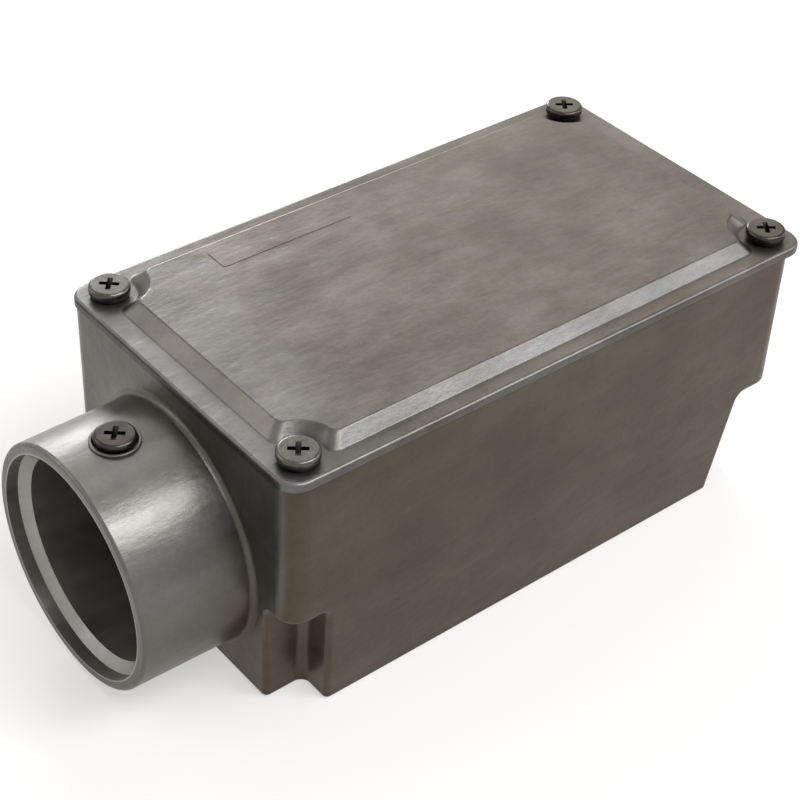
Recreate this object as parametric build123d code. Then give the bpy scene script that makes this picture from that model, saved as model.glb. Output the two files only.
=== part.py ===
from build123d import *
import math
import os

# A cast conduit body with one hub, a screwed cover and a set screw, in millimetres.
# X runs along the box with the hub at -X, Z is up, and the origin is in the flat
# underside, below the middle of the cover.

# Cover
cover_length = 154.4
cover_width = 86.0
cover_corner_r = 5.4
flange_thickness = 2.2
flange_edge_r = 0.9
panel_rise = 2.9
panel_end_margin = 5.8
panel_side_margin = 4.3
panel_end_run = 3.4
panel_side_run = 2.8
panel_edge_r = 0.7
panel_foot_r = 0.8
scallop_r = 6.4
scallop_run = 2.8
scallop_blend_r = 2.4
cover_roof = 2.0
cover_back_margin = 2.4
label_length = 37.0
label_width = 7.2
label_rise = 0.12
label_edge_r = 0.06
label_x = -26.6
label_y = 29.6
label_corner_r = 0.8

# Gasket
gasket_thickness = 0.5
gasket_setback = 1.0

# Body casting
rim_above_hub = 5.4
hub_end_inset = 0.4
far_end_inset = 3.3
side_inset = 0.4
body_corner_r = 5.2
wall = 3.5
floor = 3.5
post_length = 37.9
notch_end_width = 10.6
notch_far_width = 11.5
notch_side_width = 8.6
hub_end_draft = 0.2
far_end_draft = 11.6
side_draft = 1.5
draft_blend_r = 60.0
far_blend_r = 14.0
notch_inner_r = 2.4
notch_edge_r = 1.4
underside_edge_r = 0.8
cavity_corner_r = 2.0

# Hub
hub_reach = 28.2
hub_clear_below = 0.8
bore_r = 24.66
hub_wall = 5.29
hub_taper = 0.4
hub_rim_r = 0.9
hub_foot_r = 1.5
mouth_step = 2.24
mouth_depth = 2.95
mouth_cone_length = 2.1
bore_length = 22.5
stop_step = 3.16
throat_edge_r = 1.5

# Ring and screw on the hub
set_screw_from_mouth = 13.55
ring_r = 5.7
ring_rise = 0.2
ring_edge_r = 0.25
ring_recess_gap = 0.35
set_head_r = 4.75
set_head_height = 2.6
set_head_above_ring = 1.65
set_travel_in = 1.4
set_tip_clear = 0.1

# Cover screws
screw_end_inset = 7.45
screw_side_inset = 7.2
head_r = 4.8
head_height = 2.95
screw_length = 14.0
screw_hole_depth = 17.0
shank_r = 2.08
thread_gap = 0.06
cover_hole_gap = 0.3
recess_span = 4.6
recess_width = 1.2
recess_depth = 1.7
recess_low_share = 0.5
head_foot_taper = 0.9
head_bulge_share = 0.45
head_edge_r = 0.85
head_low_edge_r = 0.25
shank_point = 0.5
screw_turns = [52, 53, 48, 54]
set_screw_turn = 50

# Places worked out from the sizes above
small = 0.01
on_wall_limit = 0.15
reach = 400.0
cut_past = 1.0
past_fillet = 1.2
hub_r = bore_r + hub_wall
hub_front_r = hub_r - hub_taper
mouth_r = bore_r + mouth_step
throat_r = bore_r - stop_step
hub_axis_height = hub_clear_below + hub_r
rim_z = hub_axis_height + hub_r + rim_above_hub
flange_z = rim_z + gasket_thickness
flange_top_z = flange_z + flange_thickness
panel_top_z = flange_top_z + panel_rise
post_z = rim_z - post_length
wall_hub_x = -cover_length / 2 + hub_end_inset
wall_far_x = cover_length / 2 - far_end_inset
wall_y = cover_width / 2 - side_inset
notch_hub_x = wall_hub_x + notch_end_width
notch_far_x = wall_far_x - notch_far_width
notch_y = wall_y - notch_side_width
mouth_x = wall_hub_x - hub_reach
stop_x = mouth_x + mouth_depth + mouth_cone_length + bore_length
set_screw_x = mouth_x + set_screw_from_mouth
ring_top_z = hub_axis_height + hub_r + ring_rise
set_head_z = ring_top_z + set_head_above_ring - set_head_height
set_shank_length = set_head_z - hub_axis_height - bore_r - set_tip_clear
screw_places = [
    (x_side * (cover_length / 2 - screw_end_inset), y_side * (cover_width / 2 - screw_side_inset))
    for y_side in (-1, 1)
    for x_side in (-1, 1)
]


def slope(degrees):
    """Side shift for each millimetre of height on a wall that leans by this angle."""
    return math.tan(math.radians(degrees))


def plate(x_low, x_high, half_y, corner_r, z_low, z_high):
    """Flat block with rounded vertical corners."""
    outline = RectangleRounded(x_high - x_low, 2 * half_y, corner_r)
    return extrude(Pos((x_low + x_high) / 2, 0, z_low) * outline, z_high - z_low)


def upright(x, y, radius, z_low, z_high):
    """Upright cylinder from z_low to z_high."""
    return Pos(x, y, (z_low + z_high) / 2) * Cylinder(radius, z_high - z_low)


def side_outline():
    """Tub seen along Y: upright above the posts' ends, leaning in below them."""
    low_x = wall_hub_x + post_z * slope(hub_end_draft)
    far_x = wall_far_x - post_z * slope(far_end_draft)
    line = FilletPolyline(
        (low_x, 0), (wall_hub_x, post_z), (wall_hub_x, rim_z),
        (wall_far_x, rim_z), (wall_far_x, post_z), (far_x, 0),
        radius=[0, draft_blend_r, 0, 0, far_blend_r, 0],
        close=True,
    )
    return Plane.XZ * make_face(line)


def end_outline():
    """Tub seen along X, with the same change of draft on both long walls."""
    low_y = wall_y - post_z * slope(side_draft)
    line = FilletPolyline(
        (-low_y, 0), (-wall_y, post_z), (-wall_y, rim_z),
        (wall_y, rim_z), (wall_y, post_z), (low_y, 0),
        radius=[0, draft_blend_r, 0, 0, draft_blend_r, 0],
        close=True,
    )
    return Plane.YZ * make_face(line)


def cross_outline(x_low, x_high, half_y, cut_low, cut_high, cut_y, corner_r, inner_r, z):
    """Rectangle with its four corners cut back, rounded inside and out."""
    line = FilletPolyline(
        (x_low, -cut_y), (cut_low, -cut_y), (cut_low, -half_y),
        (cut_high, -half_y), (cut_high, -cut_y), (x_high, -cut_y),
        (x_high, cut_y), (cut_high, cut_y), (cut_high, half_y),
        (cut_low, half_y), (cut_low, cut_y), (x_low, cut_y),
        radius=[corner_r, inner_r, corner_r] * 4,
        close=True,
    )
    return Pos(0, 0, z) * make_face(line)


def notch(x_side, y_side):
    """What is cut away below one corner post, with its three inner edges rounded."""
    cut_x = notch_hub_x if x_side < 0 else notch_far_x
    draft = hub_end_draft if x_side < 0 else far_end_draft
    below = -2 * underside_edge_r
    drop = post_z - below
    low_x = cut_x - x_side * drop * slope(draft)
    low_y = notch_y - drop * slope(side_draft)
    outer_x = x_side * cover_length
    outer_y = cover_width
    levels = []
    for x, y, z in ((low_x, low_y, below), (cut_x, notch_y, post_z)):
        middle = Pos((x + outer_x) / 2, y_side * (y + outer_y) / 2, z)
        levels.append((middle * Rectangle(abs(outer_x - x), outer_y - y)).face())
    block = loft(levels, ruled=True)
    inner = Vector(cut_x, y_side * notch_y, post_z)
    edges = [e for e in block.edges() if any((v.center() - inner).length < small for v in e.vertices())]
    return fillet(edges, notch_inner_r)


def wall_gap(point):
    """Distances from a point of the tub to its nearest side wall and end wall."""
    drop = max(0.0, post_z - point.Z)
    side = wall_y - drop * slope(side_draft) - abs(point.Y)
    hub_end = abs(point.X - wall_hub_x - drop * slope(hub_end_draft))
    far_end = abs(point.X - wall_far_x + drop * slope(far_end_draft))
    return abs(side), min(hub_end, far_end)


def notch_edges(tub):
    """Outer edges round the four notches, from the underside up and round each post's end."""
    found = []
    for edge in tub.edges():
        middle = edge @ 0.5
        side, end = wall_gap(middle)
        on_wall = side < on_wall_limit or end < on_wall_limit
        round_post = middle.Z > post_z - small and max(side, end) < body_corner_r
        past_x = (middle.X < notch_hub_x + notch_inner_r
                  or middle.X > notch_far_x - post_z * slope(far_end_draft))
        past_y = abs(middle.Y) > notch_y - post_z * slope(side_draft)
        if small < middle.Z < post_z + small and past_x and past_y and (on_wall or round_post):
            found.append(edge)
    return found


def outer_tub():
    """Outside of the casting without its hub."""
    along = extrude(side_outline(), reach, both=True)
    across = extrude(end_outline(), reach, both=True)
    tub = along & across
    for x_side in (-1, 1):
        for y_side in (-1, 1):
            tub -= notch(x_side, y_side)
    corners = tub.edges().filter_by(Axis.Z).filter_by(
        lambda e: abs(e.center().Y) > wall_y - small
        and (e.center().X < wall_hub_x + small or e.center().X > wall_far_x - small)
    )
    tub = fillet(corners, body_corner_r)
    tub = fillet(notch_edges(tub), notch_edge_r)
    low_edges = tub.edges().filter_by(lambda e: e.bounding_box().max.Z < small)
    return fillet(low_edges, underside_edge_r)


def cavity_outline(z):
    """Inside of the tub at one height, one wall in from every outer face."""
    drop = max(0.0, post_z - z)
    return cross_outline(
        wall_hub_x + wall + drop * slope(hub_end_draft),
        wall_far_x - wall - drop * slope(far_end_draft),
        wall_y - wall - drop * slope(side_draft),
        notch_hub_x + wall + drop * slope(hub_end_draft),
        notch_far_x - wall - drop * slope(far_end_draft),
        notch_y - wall - drop * slope(side_draft),
        cavity_corner_r, notch_inner_r, z,
    )


def cavity():
    """Wiring space: leaning walls below the posts' ends, upright ones above."""
    low = loft([cavity_outline(floor), cavity_outline(post_z)], ruled=True)
    return low + extrude(cavity_outline(post_z), rim_z - post_z + cut_past)


def turned(points, radii):
    """Solid turned about the hub's axis from points of (x, radius)."""
    line = FilletPolyline(*points, radius=radii, close=True)
    return Pos(0, 0, hub_axis_height) * revolve(make_face(line), Axis.X)


def hub():
    """Round hub with a rounded rim and a hollow fillet at its foot."""
    root_x = wall_hub_x + wall / 2
    foot = hub_r + past_fillet * hub_foot_r
    solid = turned(
        [(mouth_x, 0), (mouth_x, hub_front_r), (wall_hub_x, hub_r), (wall_hub_x, foot), (root_x, foot),
         (root_x, 0)],
        [0, hub_rim_r, hub_foot_r, 0, 0, 0],
    )
    below = Pos(wall_hub_x, 0, hub_axis_height - hub_r - reach / 2) * Box(reach, reach, reach)
    ring = upright(set_screw_x, 0, ring_r, hub_axis_height + (hub_r + bore_r) / 2, ring_top_z)
    ring = fillet(ring.edges().sort_by(Axis.Z)[-1], ring_edge_r)
    return solid - below + ring


def hub_bore():
    """Mouth, lead-in cone, conduit bore, stop and throat, open into the wiring space."""
    inner_x = wall_hub_x + wall
    cone_x = mouth_x + mouth_depth
    flare = throat_r + past_fillet * throat_edge_r
    return turned(
        [(mouth_x - cut_past, 0), (mouth_x - cut_past, mouth_r), (cone_x, mouth_r),
         (cone_x + mouth_cone_length, bore_r), (stop_x, bore_r), (stop_x, throat_r), (inner_x, throat_r),
         (inner_x, flare), (inner_x + cut_past, flare), (inner_x + cut_past, 0)],
        [0, 0, 0, 0, 0, throat_edge_r, throat_edge_r, 0, 0, 0],
    )


def make_body():
    """The casting: tub, posts, hub, ring and every hole in it."""
    body = outer_tub() + hub() - cavity() - hub_bore()
    for x, y in screw_places:
        body -= upright(x, y, shank_r + thread_gap, rim_z - screw_hole_depth, rim_z + cut_past)
    recess_z = set_head_z - set_travel_in - thread_gap
    body -= upright(set_screw_x, 0, set_head_r + ring_recess_gap, recess_z, ring_top_z + cut_past)
    bore_top_z = hub_axis_height + bore_r
    return body - upright(set_screw_x, 0, shank_r + thread_gap, bore_top_z - cut_past, recess_z + cut_past)


def panel_outline(grow, rise_x, rise_y, scallop, z):
    """Outline of the raised panel at one height, with a scallop at each screw."""
    half_x = cover_length / 2 - panel_end_margin - rise_x + grow
    half_y = cover_width / 2 - panel_side_margin - rise_y + grow
    sheet = Rectangle(2 * half_x, 2 * half_y)
    for x, y in screw_places:
        sheet -= Pos(x, y) * Circle(scallop)
    sheet = fillet(sheet.vertices(), scallop_blend_r)
    return Pos(0, 0, z) * sheet


def panel(grow, z_low, z_high):
    """Panel with sloping sides, wider at z_low, grown or shrunk all round."""
    rise = (z_high - z_low) / panel_rise
    low = panel_outline(grow, 0, 0, scallop_r - grow, z_low)
    high = panel_outline(
        grow, panel_end_run * rise, panel_side_run * rise, scallop_r - grow + scallop_run * rise, z_high
    )
    return loft([low.face(), high.face()], ruled=True)


def edges_at(solid, z, end_margin=0, side_margin=0):
    """Level edges at this height that keep these margins from the cover's ends and sides."""
    found = []
    for edge in solid.edges():
        box = edge.bounding_box()
        level = abs(box.min.Z - z) < small and abs(box.max.Z - z) < small
        past_x = max(abs(box.min.X), abs(box.max.X)) - cover_length / 2 + end_margin
        past_y = max(abs(box.min.Y), abs(box.max.Y)) - cover_width / 2 + side_margin
        if level and past_x < small and past_y < small:
            found.append(edge)
    return found


def make_cover():
    """Cast cover: rounded flange, raised panel with soft edges, bare low pad, hollow back."""
    flange = plate(-cover_length / 2, cover_length / 2, cover_width / 2, cover_corner_r,
                   flange_z, flange_top_z)
    flange = fillet(edges_at(flange, flange_top_z), flange_edge_r)
    raised = panel(0, flange_top_z, panel_top_z)
    cover = flange + fillet(edges_at(raised, panel_top_z), panel_edge_r)
    cover = fillet(edges_at(cover, flange_top_z, panel_end_margin, panel_side_margin), panel_foot_r)
    cover -= panel(-cover_back_margin, flange_z, panel_top_z - cover_roof)
    label = Pos(label_x, label_y, panel_top_z) * RectangleRounded(label_length, label_width, label_corner_r)
    pad = extrude(label, label_rise)
    cover += fillet(edges_at(pad, panel_top_z + label_rise), label_edge_r)
    for x, y in screw_places:
        cover -= upright(x, y, shank_r + cover_hole_gap, flange_z - cut_past, panel_top_z + cut_past)
    return cover


def make_gasket():
    """Flat rubber frame on the rim."""
    frame = plate(wall_hub_x + gasket_setback, wall_far_x - gasket_setback, wall_y - gasket_setback,
                  body_corner_r - gasket_setback, rim_z, flange_z)
    frame -= extrude(cavity_outline(rim_z), gasket_thickness)
    for x, y in screw_places:
        frame -= upright(x, y, shank_r + cover_hole_gap, rim_z - cut_past, flange_z + cut_past)
    return frame


def cross_recess(top_z):
    """Tapered cross cut into a screw's head."""
    half_top = recess_span / 2
    half_low = half_top * recess_low_share
    line = Polyline((-half_top, 0), (half_top, 0), (half_low, -recess_depth), (-half_low, -recess_depth),
                    close=True)
    arm = extrude(Plane.XZ * make_face(line), recess_width / 2, both=True)
    return Pos(0, 0, top_z) * (arm + Rot(0, 0, 90) * arm)


def pan_screw(radius, height, length, point):
    """Machine screw standing on z = 0: flat-topped head that bulges above its foot, shank below."""
    line = FilletPolyline(
        (0, -length), (shank_r - point, -length), (shank_r, point - length), (shank_r, 0),
        (radius * head_foot_taper, 0), (radius, height * head_bulge_share), (radius, height), (0, height),
        radius=[0, 0, 0, 0, head_low_edge_r, head_edge_r, head_edge_r, 0],
        close=True,
    )
    return revolve(Plane.XZ * make_face(line), Axis.Z) - cross_recess(height)


def make_parts():
    """Every node by name."""
    parts = {"body_casting": make_body(), "cover": make_cover(), "gasket": make_gasket()}
    for number, (x, y) in enumerate(screw_places, 1):
        turn = Rot(0, 0, screw_turns[number - 1])
        screw = pan_screw(head_r, head_height, screw_length, shank_point)
        parts[f"cover_screw_{number}"] = Pos(x, y, flange_top_z) * turn * screw
    set_screw = pan_screw(set_head_r, set_head_height, set_shank_length, shank_point)
    parts["set_screw"] = Pos(set_screw_x, 0, set_head_z) * Rot(0, 0, set_screw_turn) * set_screw
    return parts


os.makedirs("parts", exist_ok=True)
for name, solid in make_parts().items():
    export_step(solid, f"parts/{name}.step")
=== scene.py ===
import math

import bpy
from mathutils import Matrix, Vector

# A cast aluminium conduit body seen from above its hub end, on a pale floor.
# Everything is in metres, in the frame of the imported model.

# Camera: where it stands, what it looks at and how many degrees it is rolled
CAMERA_PLACE = Vector((-0.2493, -0.2764, 0.3237))
CAMERA_AIM = Vector((-0.01955, -0.00816, 0.04291))
CAMERA_ROLL = 2.79
LENS_MM = 86.69
SENSOR_MM = 36.0
CLIP_START = 0.01

# Finish of each casting. Tones go from the darkest cloud to the lightest, for bare metal and for metal under
# its film. The film's share along X is given as (millimetres, share). It is partly real oxide film and partly
# painted light: the cover's bare hub end is a painted highlight, and the film rising on the hub toward its
# foot a painted dark reflection. Patchiness makes the film ragged, and mottle is how much spots and flow marks
# darken and lighten the metal.
CASTINGS = {
    "body_casting": {
        "name": "tumbled_cast_aluminium_box",
        "bare_tones": [(0.34, "#5C5C5B"), (0.5, "#636260"), (0.66, "#696865")],
        "film_tones": [(0.34, "#4A4137"), (0.5, "#4F463B"), (0.66, "#544C41")],
        # Film rising on the hub toward its foot is a painted dark reflection
        "film_and_painted_light_along": [(-94.0, 0.0), (-79.0, 0.45), (-77.1, 0.45), (-76.9, 0.1), (-75.8, 1.0)],
        "patchiness": 0.12,
        "mottle": 0.05,
    },
    "cover": {
        "name": "tumbled_cast_aluminium_cover",
        "bare_tones": [(0.34, "#5F5F5E"), (0.5, "#676766"), (0.66, "#6F6F6E")],
        "film_tones": [(0.34, "#4A4640"), (0.5, "#544F49"), (0.66, "#5E5A55")],
        # The cover's bare hub end is a painted highlight on its flange
        "film_and_painted_light_along": [(-74.0, 0.0), (-67.0, 0.45), (-42.0, 0.9), (40.0, 1.0)],
        "patchiness": 0.4,
        "mottle": 0.14,
    },
}
MACHINED_TONES = [(0.34, "#8B8A86"), (0.66, "#989793")]
# The stretch of X, in millimetres, over which the film is drawn
FILM_REACH_MM = (-110.0, 80.0)
# Oxide makes a cast skin partly matt, so it isn't a full metal
CAST_METALLIC = 0.85
CAST_ROUGHNESS = (0.3, 0.42)
GRAIN_MOTTLE = 0.05
# Shallow waves of a cast skin, a few hundredths of a millimetre high, and the grain on them
WAVE_RELIEF = {"Strength": 0.5, "Distance": 0.0004}
GRAIN_RELIEF = {"Strength": 0.12, "Distance": 0.0002}

# Painted shade: the hub's lower side takes on film too, from its full height down to the lowest, up to this
# share, standing in for the darker reflection it takes from below
HUB_UNDERSIDE_SHADE_Z = (0.040, 0.016)
HUB_UNDERSIDE_SHADE_SHARE = 0.7
# Painted highlight: faces turned this way, such as the cover's slope toward the front, lose film and so are
# lighter, as they mirror the front lamps. The direction, how well a face has to match it before it counts a
# little and in full, and the share of film taken off
LIT_FACING = (0.0, -0.7071, 0.7071)
LIT_FACING_MATCH = (0.97, 0.99)
PAINTED_HIGHLIGHT_SHARE = 0.6

# The hub: where it leaves the end wall, its axis height, the radius inside which it is machined, its foot, and
# how much painted shade darkens that foot
END_WALL_X = -0.0768
HUB_AXIS_Z = 0.03075
MACHINED_R = 0.0271
FOOT_R = 0.0303
FOOT_PAINTED_SHADE = 0.6
# Widths over which one finish gives way to the next at a sharp edge, and over which the painted shade sets in
# at the hub's foot
SHARP_EDGE = 0.0002
FOOT_EDGE = 0.0008

# Painted light in hollows, for the light that bright metal mirrors back and forth there: how far the search
# for shelter reaches, the openness at which a place is fully sheltered and no longer sheltered, and how much
# lighter the metal is painted in full shelter
HOLLOW_REACH = 0.05
HOLLOW_OPENNESS = (0.3, 0.65)
HOLLOW_PAINTED_LIGHT = 4.0
# Painted shade in inner corners, under heads and in the screws' recesses: the same two opennesses, then reach
# in millimetres and darkest level for each metal
CORNER_SHADE_OPENNESS = (0.35, 0.95)
CAST_CORNER_SHADE = (3.0, 0.65)
SCREW_RECESS_SHADE = (2.0, 0.1)
SHELTER_SAMPLES = 8

# Patterns: size in millimetres, detail, stretch along X, roughness
CLOUDS = (16.0, 5.0, 1.4, 0.6)
# Spots where fingers and tumbling left the film thinner or thicker
SPOTS = (5.0, 5.0, 1.3, 0.75)
# Flow marks of the casting: faint streaks along the box, a few millimetres apart
FLOW_MARKS = (6.0, 5.0, 2.6, 0.6)
# Grain left by tumbling, drawn coarser than the real grain so that it shows at this distance
GRAIN = (1.3, 3.0, 1.0, 0.6)
SCREW_STAIN = (4.0, 4.0, 1.0, 0.6)
SCREW_POLISH = (2.0, 3.0, 1.0, 0.6)
# The part of its 0 to 1 range that a pattern really uses
USED_LOW = 0.3
USED_HIGH = 0.7

# Screw finishes: name, darkest and palest stain. They are one zinc-plated steel in a lit and a shaded copy:
# the near and the left one on the cover get the paler copy as painted light, the others the darker as painted
# shade.
LIT_STEEL = ("zinc_plated_steel", "#4D4B46", "#5A5955")
SHADED_STEEL = ("shaded_zinc_plated_steel", "#37342F", "#46433E")
SCREWS = {
    "cover_screw_1": LIT_STEEL,
    "cover_screw_2": SHADED_STEEL,
    "cover_screw_3": LIT_STEEL,
    "cover_screw_4": SHADED_STEEL,
    "set_screw": SHADED_STEEL,
}
SCREW_ROUGHNESS = (0.2, 0.3)
GASKET_BLACK = "#35322F"
GASKET_ROUGHNESS = 0.7

# Softboxes: direction from the object, direction of their long side, length, width, power, colour
SOFTBOX_DISTANCE = 1.4
SOFTBOX_AIM = Vector((0.0, 0.0, 0.035))
SOFTBOXES = {
    "back_left": ((0.25, 0.75, 0.61), (1, -0.4, 0), 0.5, 0.7, 1.6, "#FFFFFF"),
    "back_right": ((0.62, 0.58, 0.53), (1, -0.8, 0), 0.5, 0.6, 1.7, "#FFF6EA"),
    "front_low": ((0.58, -0.60, 0.55), (1, 0.55, -0.5), 0.7, 0.4, 3.1, "#F2F6FF"),
    "front_high": ((0.38, -0.49, 0.78), (1, 0.5, 0), 0.5, 0.45, 6.2, "#FFFEFA"),
    "front_middle": ((0.0, -0.50, 0.85), (1, 0, 0), 0.6, 0.6, 7.2, "#FFFEFA"),
    "left_behind": ((-0.62, 0.60, 0.50), (1, 1, 0), 0.8, 0.6, 2.6, "#FFF4E6"),
    "low_back": ((0.37, 0.88, 0.27), (1, -0.4, 0), 0.45, 0.4, 7.6, "#FFFFFF"),
    "right": ((0.88, -0.33, 0.35), (0.35, 1, 0), 0.5, 0.4, 2.2, "#FFFFFF"),
    "overhead": ((0.30, 0.25, 0.90), (1, 0, 0), 0.5, 0.5, 1.2, "#FFFFFF"),
}
WORLD_COLOUR = "#FAF9F7"
WORLD_STRENGTH = 0.42

# Floor: its size, how far it lies under the underside so that the two faces don't share one plane, its colour
# and how far it is shown as pure white
FLOOR_SIZE = 12.0
FLOOR_DROP = 0.00005
FLOOR_COLOUR = "#F6F5F3"
FLOOR_ROUGHNESS = 0.9
FLOOR_WHITENESS = 0.5

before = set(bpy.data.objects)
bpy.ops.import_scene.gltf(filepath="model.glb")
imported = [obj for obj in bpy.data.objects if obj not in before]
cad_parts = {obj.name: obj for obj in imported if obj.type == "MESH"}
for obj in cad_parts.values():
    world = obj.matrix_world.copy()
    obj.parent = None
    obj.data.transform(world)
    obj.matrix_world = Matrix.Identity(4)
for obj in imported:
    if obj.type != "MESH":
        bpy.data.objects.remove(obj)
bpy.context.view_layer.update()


def from_hex(code):
    """sRGB hex colour to the linear colour that a shader wants."""
    channels = [int(code[i:i + 2], 16) / 255 for i in (1, 3, 5)]
    linear = [c / 12.92 if c <= 0.04045 else ((c + 0.055) / 1.055) ** 2.4 for c in channels]
    return (*linear, 1.0)


def node(tree, kind, inputs=(), stops=(), **settings):
    """Adds one node. A list of inputs fills its sockets in order, a dict by name or place, each with a value
    or a link. Stops are a colour ramp's (position, linear colour), and settings are the node's properties."""
    new = tree.nodes.new(kind)
    for key, value in settings.items():
        setattr(new, key, value)
    for key, value in inputs.items() if isinstance(inputs, dict) else enumerate(inputs):
        if isinstance(value, bpy.types.NodeSocket):
            tree.links.new(value, new.inputs[key])
        else:
            new.inputs[key].default_value = value
    for _ in stops[2:]:
        new.color_ramp.elements.new(0.5)
    for place, (position, colour) in enumerate(stops):
        new.color_ramp.elements[place].position = position
        new.color_ramp.elements[place].color = colour
    return new


def new_material(name):
    """Empty node material with its shader and output joined."""
    material = bpy.data.materials.new(name)
    material.use_nodes = True
    tree = material.node_tree
    tree.nodes.clear()
    shader = node(tree, "ShaderNodeBsdfPrincipled")
    node(tree, "ShaderNodeOutputMaterial", {"Surface": shader.outputs["BSDF"]})
    return material, tree, shader


def pattern(tree, place, size, detail, stretch, roughness):
    """Level from 0 to 1 in soft patches of this size in mm, stretched by this factor along X."""
    mapped = node(tree, "ShaderNodeMapping", {"Vector": place, "Scale": (1.0 / stretch, 1.0, 1.0)})
    return node(tree, "ShaderNodeTexNoise", {
        "Vector": mapped.outputs["Vector"],
        "Scale": 1000.0 / size,
        "Detail": detail,
        "Roughness": roughness,
    }).outputs["Fac"]


def tones(tree, level, stops):
    """Colour that runs through these (position, hex colour) stops with the level."""
    linear = [(position, from_hex(code)) for position, code in stops]
    return node(tree, "ShaderNodeValToRGB", {"Fac": level}, linear).outputs["Color"]


def painted_corner_shade(tree, reach_mm, darkest):
    """Painted shade: a level that falls from 1 to this value in inner corners within this reach."""
    reach = {"Distance": reach_mm / 1000}
    open_sky = node(tree, "ShaderNodeAmbientOcclusion", reach, samples=SHELTER_SAMPLES).outputs["AO"]
    return node(tree, "ShaderNodeMapRange", [open_sky, *CORNER_SHADE_OPENNESS, darkest, 1.0]).outputs["Result"]


def film_and_painted_light_share(tree, place, axes, spots, film_and_painted_light_along, patchiness):
    """Share of brown film: none at the hub's mouth, more behind it with a patchy edge. Part of it is painted
    light:
    film toward the hub's foot and underside is painted shade, and film taken off faces turned to the front
    lamps is a painted highlight.
    """
    low, high = FILM_REACH_MM
    along = node(tree, "ShaderNodeMapRange", [axes["X"], low / 1000, high / 1000, 0.0, 1.0])
    stops = [((at - low) / (high - low), (share, share, share, 1.0)) for at, share in film_and_painted_light_along]
    film_and_painted_light = node(tree, "ShaderNodeValToRGB", {"Fac": along.outputs["Result"]}, stops).outputs["Color"]
    # Painted shade: more film toward the hub's underside
    painted_underside_shade = node(tree, "ShaderNodeMapRange", [axes["Z"], *HUB_UNDERSIDE_SHADE_Z, 0.0, HUB_UNDERSIDE_SHADE_SHARE])
    patches = node(tree, "ShaderNodeMapRange", [spots, USED_LOW, USED_HIGH, -patchiness, patchiness])
    # Painted highlight: less film on faces turned to the front lamps
    normal = node(tree, "ShaderNodeNewGeometry").outputs["Normal"]
    facing = node(tree, "ShaderNodeVectorMath", [normal, LIT_FACING], operation="DOT_PRODUCT")
    painted_highlight = node(tree, "ShaderNodeMapRange", [facing.outputs["Value"], *LIT_FACING_MATCH, 0.0, PAINTED_HIGHLIGHT_SHARE])
    for operation, level in (("ADD", painted_underside_shade), ("ADD", patches), ("SUBTRACT", painted_highlight)):
        film_and_painted_light = node(tree, "ShaderNodeMath", [film_and_painted_light, level.outputs["Result"]], operation=operation,
                    use_clamp=True).outputs["Value"]
    return film_and_painted_light


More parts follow.
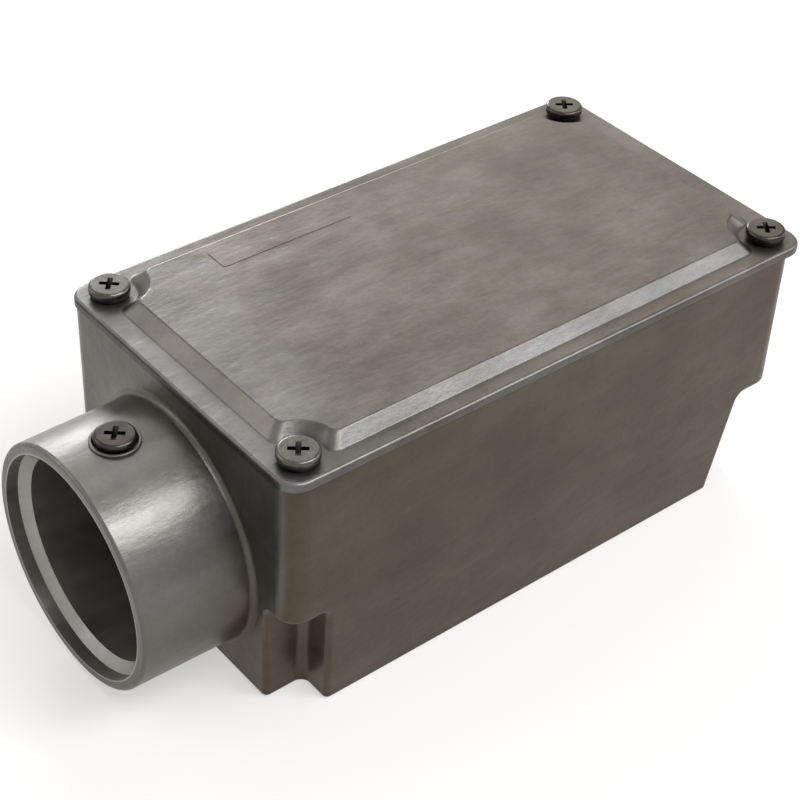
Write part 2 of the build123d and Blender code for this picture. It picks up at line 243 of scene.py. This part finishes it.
def cast_aluminium(name, bare_tones, film_tones, film_and_painted_light_along, patchiness, mottle):
    """Die-cast aluminium, tumbled, then handled: dull grey metal under a brown film of oxide and grease.
    Painted light
    and shade are laid into its colour too: in parts of the film, as lighter hollows, and as darker inner
    corners and hub foot.
    """
    material, tree, shader = new_material(name)
    place = node(tree, "ShaderNodeTexCoord").outputs["Object"]
    axes = node(tree, "ShaderNodeSeparateXYZ", [place]).outputs
    clouds = pattern(tree, place, *CLOUDS)
    spots = pattern(tree, place, *SPOTS)
    flow = pattern(tree, place, *FLOW_MARKS)
    grain = pattern(tree, place, *GRAIN)
    film_and_painted_light = film_and_painted_light_share(tree, place, axes, spots, film_and_painted_light_along, patchiness)
    colour = node(tree, "ShaderNodeMix", {
        "Factor": film_and_painted_light, 6: tones(tree, clouds, bare_tones), 7: tones(tree, clouds, film_tones)},
        data_type="RGBA").outputs[2]
    for level, swing in ((flow, mottle), (spots, mottle), (grain, GRAIN_MOTTLE)):
        factor = node(tree, "ShaderNodeMapRange", [level, USED_LOW, USED_HIGH, 1 - swing, 1 + swing])
        colour = node(tree, "ShaderNodeVectorMath", [colour, factor.outputs["Result"]],
                      operation="MULTIPLY").outputs["Vector"]

    # Painted light: outside the hub, sheltered places get a lighter colour, for the light that bright metal
    # mirrors again and again in hollows and that these darker tones lose
    hollow = node(tree, "ShaderNodeAmbientOcclusion", {"Distance": HOLLOW_REACH}, samples=SHELTER_SAMPLES,
                  only_local=True)
    painted_bounce = node(tree, "ShaderNodeMapRange", [hollow.outputs["AO"], *HOLLOW_OPENNESS, HOLLOW_PAINTED_LIGHT, 1.0])
    bounce_lit_colour = node(tree, "ShaderNodeVectorMath", [colour, painted_bounce.outputs["Result"]], operation="MULTIPLY")
    in_hub = node(tree, "ShaderNodeMapRange", [axes["X"], END_WALL_X - SHARP_EDGE, END_WALL_X, 1.0, 0.0])
    colour = node(tree, "ShaderNodeMix", {
        "Factor": in_hub.outputs["Result"], 6: bounce_lit_colour.outputs["Vector"], 7: colour},
        data_type="RGBA").outputs[2]

    # Distance from the hub's axis: inside it the hub is machined bright, and at its foot painted shade darkens
    # it
    from_axis = node(tree, "ShaderNodeMapping", {
        "Vector": place, "Location": (0, 0, -HUB_AXIS_Z), "Scale": (0, 1, 1)})
    from_axis = from_axis.outputs["Vector"]
    radius = node(tree, "ShaderNodeVectorMath", [from_axis], operation="LENGTH").outputs["Value"]
    bore = node(tree, "ShaderNodeMapRange", [radius, MACHINED_R, MACHINED_R + SHARP_EDGE, 1.0, 0.0])
    machined = node(tree, "ShaderNodeMath", [in_hub.outputs["Result"], bore.outputs["Result"]],
                    operation="MULTIPLY", use_clamp=True)
    colour = node(tree, "ShaderNodeMix", {
        "Factor": machined.outputs["Value"], 6: colour, 7: tones(tree, flow, MACHINED_TONES)},
        data_type="RGBA").outputs[2]
    # Painted shade: a darker ring on the hub where it meets the end wall
    foot = node(tree, "ShaderNodeMapRange", [radius, FOOT_R, FOOT_R + FOOT_EDGE, 0.0, FOOT_PAINTED_SHADE])
    painted_shade = node(tree, "ShaderNodeMath", [in_hub.outputs["Result"], foot.outputs["Result"]],
                 operation="MULTIPLY", use_clamp=True)
    unshaded = node(tree, "ShaderNodeMath", [1.0, painted_shade.outputs["Value"]], operation="SUBTRACT", use_clamp=True)
    # Painted shade at the hub's foot and in inner corners darkens the colour
    for level in (unshaded.outputs["Value"], painted_corner_shade(tree, *CAST_CORNER_SHADE)):
        colour = node(tree, "ShaderNodeVectorMath", [colour, level], operation="MULTIPLY").outputs["Vector"]
    tree.links.new(colour, shader.inputs["Base Color"])

    shader.inputs["Metallic"].default_value = CAST_METALLIC
    roughness = node(tree, "ShaderNodeMapRange", [flow, USED_LOW, USED_HIGH, *CAST_ROUGHNESS])
    tree.links.new(roughness.outputs["Result"], shader.inputs["Roughness"])
    waves = node(tree, "ShaderNodeBump", {"Height": flow, **WAVE_RELIEF})
    relief = node(tree, "ShaderNodeBump", {"Height": grain, "Normal": waves.outputs["Normal"], **GRAIN_RELIEF})
    tree.links.new(relief.outputs["Normal"], shader.inputs["Normal"])
    return material


def screw_steel(name, dark, pale):
    """Zinc-plated steel, cold headed: smoother than the casting, stained between these two colours, and with
    painted shade in its recess.
    """
    material, tree, shader = new_material(name)
    shader.inputs["Metallic"].default_value = 1.0
    place = node(tree, "ShaderNodeTexCoord").outputs["Object"]
    stain = tones(tree, pattern(tree, place, *SCREW_STAIN), [(0.35, dark), (0.65, pale)])
    # Painted shade in the cross recess and where the head sits on the cover
    painted_shade = painted_corner_shade(tree, *SCREW_RECESS_SHADE)
    colour = node(tree, "ShaderNodeVectorMath", [stain, painted_shade], operation="MULTIPLY")
    tree.links.new(colour.outputs["Vector"], shader.inputs["Base Color"])
    polish = pattern(tree, place, *SCREW_POLISH)
    roughness = node(tree, "ShaderNodeMapRange", [polish, USED_LOW, USED_HIGH, *SCREW_ROUGHNESS])
    tree.links.new(roughness.outputs["Result"], shader.inputs["Roughness"])
    return material


def gasket_rubber():
    """Moulded black rubber."""
    material, _, shader = new_material("moulded_rubber")
    shader.inputs["Base Color"].default_value = from_hex(GASKET_BLACK)
    shader.inputs["Roughness"].default_value = GASKET_ROUGHNESS
    return material


def finish_node(name, material):
    """Gives a CAD piece its material."""
    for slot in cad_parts[name].material_slots:
        slot.material = material


def shown_rays(tree):
    """Level 1 for the rays that show a surface to the camera, straight or by way of metal or glass."""
    ray = node(tree, "ShaderNodeLightPath").outputs
    seen = ray["Is Camera Ray"]
    for kind in ("Is Glossy Ray", "Is Transmission Ray"):
        seen = node(tree, "ShaderNodeMath", [seen, ray[kind]], operation="MAXIMUM").outputs["Value"]
    return seen


def add_floor():
    """Pale matt floor under the object, shown and mirrored partly as pure white, with its shadow kept."""
    bpy.ops.mesh.primitive_plane_add(size=FLOOR_SIZE, location=(0, 0, -FLOOR_DROP))
    floor = bpy.context.object
    floor.name = "floor"
    material, tree, shader = new_material("pale_floor")
    shader.inputs["Base Color"].default_value = from_hex(FLOOR_COLOUR)
    shader.inputs["Roughness"].default_value = FLOOR_ROUGHNESS
    white = node(tree, "ShaderNodeEmission", {"Color": (1, 1, 1, 1), "Strength": 1.0})
    share = node(tree, "ShaderNodeMath", [shown_rays(tree), FLOOR_WHITENESS], operation="MULTIPLY")
    shown = node(tree, "ShaderNodeMixShader", [
        share.outputs["Value"], shader.outputs["BSDF"], white.outputs["Emission"]])
    output = next(n for n in tree.nodes if n.bl_idname == "ShaderNodeOutputMaterial")
    tree.links.new(shown.outputs["Shader"], output.inputs["Surface"])
    floor.data.materials.append(material)


def add_world():
    """Even soft surroundings, shown and mirrored white."""
    world = bpy.data.worlds.new("studio")
    world.use_nodes = True
    bpy.context.scene.world = world
    tree = world.node_tree
    shade = tree.nodes["Background"]
    shade.inputs["Color"].default_value = from_hex(WORLD_COLOUR)
    strength = node(tree, "ShaderNodeMapRange", [shown_rays(tree), 0.0, 1.0, WORLD_STRENGTH, 1.0])
    tree.links.new(strength.outputs["Result"], shade.inputs["Strength"])


def add_softbox(name, direction, along, length, width, power, colour):
    """Rectangular lamp in this direction from the object, facing it, with its length the given way."""
    lamp = bpy.data.lights.new(name, "AREA")
    lamp.shape = "RECTANGLE"
    lamp.size = length
    lamp.size_y = width
    lamp.energy = power
    lamp.color = from_hex(colour)[:3]
    holder = bpy.data.objects.new(name, lamp)
    bpy.context.scene.collection.objects.link(holder)
    toward = Vector(direction).normalized()
    across = toward.cross(Vector(along)).normalized()
    turn = Matrix((across.cross(toward), across, toward)).transposed().to_4x4()
    holder.matrix_world = Matrix.Translation(SOFTBOX_AIM + toward * SOFTBOX_DISTANCE) @ turn


def add_camera():
    """Camera at the photograph's angle."""
    data = bpy.data.cameras.new("camera")
    data.lens = LENS_MM
    data.sensor_width = SENSOR_MM
    data.clip_start = CLIP_START
    camera = bpy.data.objects.new("camera", data)
    bpy.context.scene.collection.objects.link(camera)
    look = (CAMERA_AIM - CAMERA_PLACE).normalized()
    turn = look.to_track_quat("-Z", "Y").to_matrix().to_4x4()
    roll = Matrix.Rotation(math.radians(CAMERA_ROLL), 4, "Z")
    camera.matrix_world = Matrix.Translation(CAMERA_PLACE) @ turn @ roll
    bpy.context.scene.camera = camera


for piece, finish in CASTINGS.items():
    finish_node(piece, cast_aluminium(**finish))
finish_node("gasket", gasket_rubber())
steels = {steel: screw_steel(*steel) for steel in (LIT_STEEL, SHADED_STEEL)}
for piece, steel in SCREWS.items():
    finish_node(piece, steels[steel])

add_floor()
add_world()
for name, settings in SOFTBOXES.items():
    add_softbox(name, *settings)
add_camera()
bpy.context.scene.view_settings.view_transform = "Standard"
